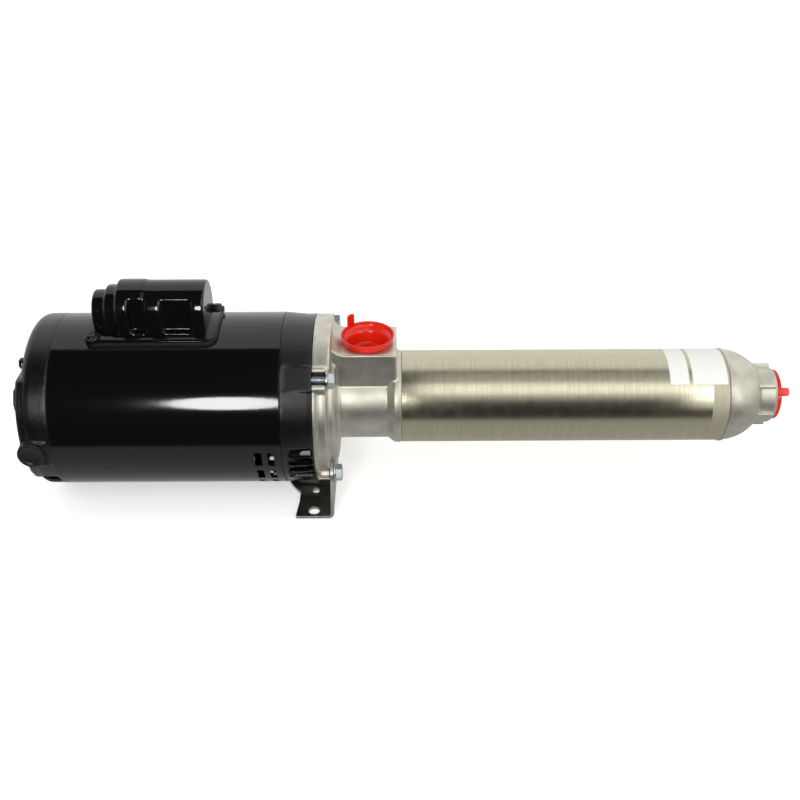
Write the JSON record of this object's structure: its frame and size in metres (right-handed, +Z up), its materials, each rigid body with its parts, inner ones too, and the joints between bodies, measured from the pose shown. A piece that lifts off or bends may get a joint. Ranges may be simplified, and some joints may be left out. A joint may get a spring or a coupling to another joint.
{
  "type": "multistage booster pump",
  "caption": "Horizontal close-coupled multistage booster pump: open drip-proof motor with capacitor cover, cast adapter with top inlet, steel pump shell and domed discharge head on a foot.",
  "frame": {"origin": "on the underside of the foot, midway between the two main foot holes", "axes": "+X along the shaft from the motor to the discharge, +Z up, +Y to the far side"},
  "size_m": [0.721, 0.1683, 0.2149],
  "materials": {
    "gloss_black_enamel": "gloss black enamel on rolled steel",
    "black_cast_enamel": "semi-gloss black enamel on cast metal",
    "cast_stainless": "investment-cast stainless, satin",
    "brushed_stainless": "brushed stainless tube",
    "stainless_sheet": "stainless sheet, mill finish",
    "zinc_steel": "zinc-plated steel",
    "machined_steel": "turned steel",
    "electrical_steel": "stamped electrical steel",
    "copper_wire": "varnished copper wire",
    "cast_aluminium": "die-cast aluminium",
    "black_rubber": "black rubber",
    "black_plastic": "moulded black phenolic",
    "pump_plastic": "glass-filled engineering plastic",
    "red_plastic": "red polyethylene",
    "ceramic": "seal ceramic"
  },
  "bodies": {
    "casing": {"adapter_seal_ring": "black_rubber", "capacitor": "black_plastic", "capacitor_cover": "gloss_black_enamel", "capacitor_cover_screw_1": "black_cast_enamel", "capacitor_cover_screw_2": "black_cast_enamel", "capacitor_gasket": "black_rubber", "conduit_plug": "black_plastic", "diffuser_1": "pump_plastic", "diffuser_2": "pump_plastic", "diffuser_3": "pump_plastic", "diffuser_4": "pump_plastic", "diffuser_5": "pump_plastic", "diffuser_6": "pump_plastic", "diffuser_7": "pump_plastic", "discharge_head": "cast_stainless", "end_spider": "pump_plastic", "flange_bolt_1": "zinc_steel", "flange_bolt_2": "zinc_steel", "flange_bolt_3": "zinc_steel", "flange_bolt_4": "zinc_steel", "flange_washers": "zinc_steel", "foot_bracket": "stainless_sheet", "front_bearing_outer_ring": "machined_steel", "front_end_bell": "black_cast_enamel", "head_seal_ring": "black_rubber", "motor_adapter": "cast_stainless", "motor_shell": "gloss_black_enamel", "pump_shell": "brushed_stainless", "rear_bearing_outer_ring": "machined_steel", "rear_end_bell": "black_cast_enamel", "seal_seat": "ceramic", "stator_core": "electrical_steel", "stator_windings": "copper_wire", "suction_plate": "machined_steel", "switch_board": "black_plastic", "terminal_cover": "gloss_black_enamel", "terminal_cover_screws": "black_cast_enamel", "through_bolts": "zinc_steel"},
    "rotor": {"cooling_fan": "black_plastic", "front_bearing_inner_ring": "machined_steel", "impeller_1": "pump_plastic", "impeller_2": "pump_plastic", "impeller_3": "pump_plastic", "impeller_4": "pump_plastic", "impeller_5": "pump_plastic", "impeller_6": "pump_plastic", "impeller_7": "pump_plastic", "impeller_nut": "machined_steel", "motor_shaft": "machined_steel", "pump_shaft": "machined_steel", "rear_bearing_inner_ring": "machined_steel", "rotor_cage": "cast_aluminium", "rotor_core": "electrical_steel", "seal_head": "machined_steel", "shaft_coupling": "machined_steel", "switch_actuator": "machined_steel", "water_slinger": "black_rubber"},
    "inlet_plug_body": {"inlet_plug": "red_plastic"},
    "outlet_plug_body": {"outlet_plug": "red_plastic"}
  },
  "joints": [
    {"name": "rotor_spin", "type": "hinge", "parent": "casing", "child": "rotor", "pos_m": [0, 0, 0.0889], "axis": [1, 0, 0], "continuous": true},
    {"name": "inlet_plug_pull", "type": "slide", "parent": "casing", "child": "inlet_plug_body", "axis": [0, 0, 1], "range_m": [0, 0.04]},
    {"name": "outlet_plug_pull", "type": "slide", "parent": "casing", "child": "outlet_plug_body", "axis": [1, 0, 0], "range_m": [0, 0.04]}
  ]
}
